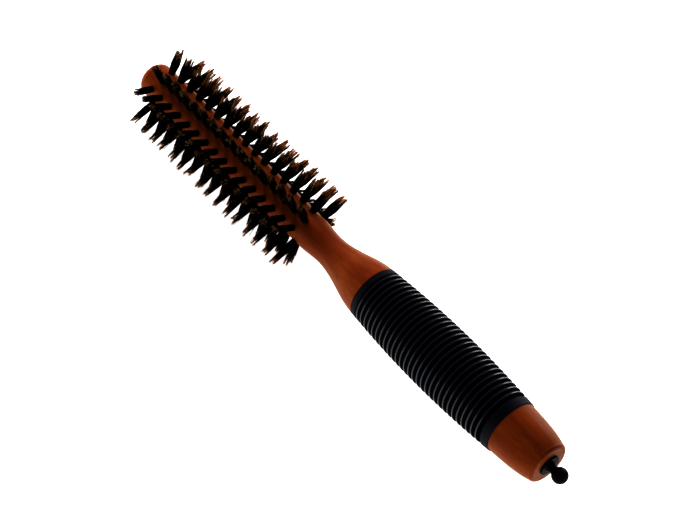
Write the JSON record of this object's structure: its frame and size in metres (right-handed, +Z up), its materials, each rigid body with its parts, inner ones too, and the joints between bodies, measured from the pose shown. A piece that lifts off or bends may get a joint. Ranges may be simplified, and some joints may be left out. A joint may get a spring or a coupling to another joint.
{
  "type": "round barrel brush",
  "caption": "Round hair brush: turned wooden barrel with rows of bristle tufts, waisted neck, ribbed rubber grip and a sectioning pick stowed in the butt.",
  "frame": {"origin": "on the brush's axis, halfway along its overall length from barrel tip to knob", "axes": "+X along the axis from the barrel's tip towards the butt and the pick's knob, +Z up with the brush lying on two of its bristle rows"},
  "size_m": [0.2498, 0.0372, 0.0372],
  "materials": {
    "lacquered_wood": "red-brown stain under clear lacquer",
    "grip_rubber": "satin moulded ribs",
    "bristle": "natural dark bristle with lighter split tips",
    "anchor_wire": "plain wire",
    "black_plastic": "gloss black",
    "ring_rubber": "matt",
    "pick_steel": "polished pin"
  },
  "bodies": {
    "brush": {"wood_body": "lacquered_wood", "grip_sleeve": "grip_rubber", "bristle_row_1": "bristle", "bristle_row_2": "bristle", "bristle_row_3": "bristle", "bristle_row_4": "bristle", "bristle_row_5": "bristle", "bristle_row_6": "bristle", "bristle_row_7": "bristle", "bristle_row_8": "bristle", "anchor_row_1": "anchor_wire", "anchor_row_2": "anchor_wire", "anchor_row_3": "anchor_wire", "anchor_row_4": "anchor_wire", "anchor_row_5": "anchor_wire", "anchor_row_6": "anchor_wire", "anchor_row_7": "anchor_wire", "anchor_row_8": "anchor_wire", "pick_socket": "black_plastic", "pick_grip_ring": "ring_rubber"},
    "pick": {"pick_shank": "pick_steel", "pick_knob": "black_plastic"}
  },
  "joints": [
    {"name": "pick_slide", "type": "slide", "parent": "brush", "child": "pick", "axis": [1, 0, 0], "range_m": [0, 0.071]}
  ]
}
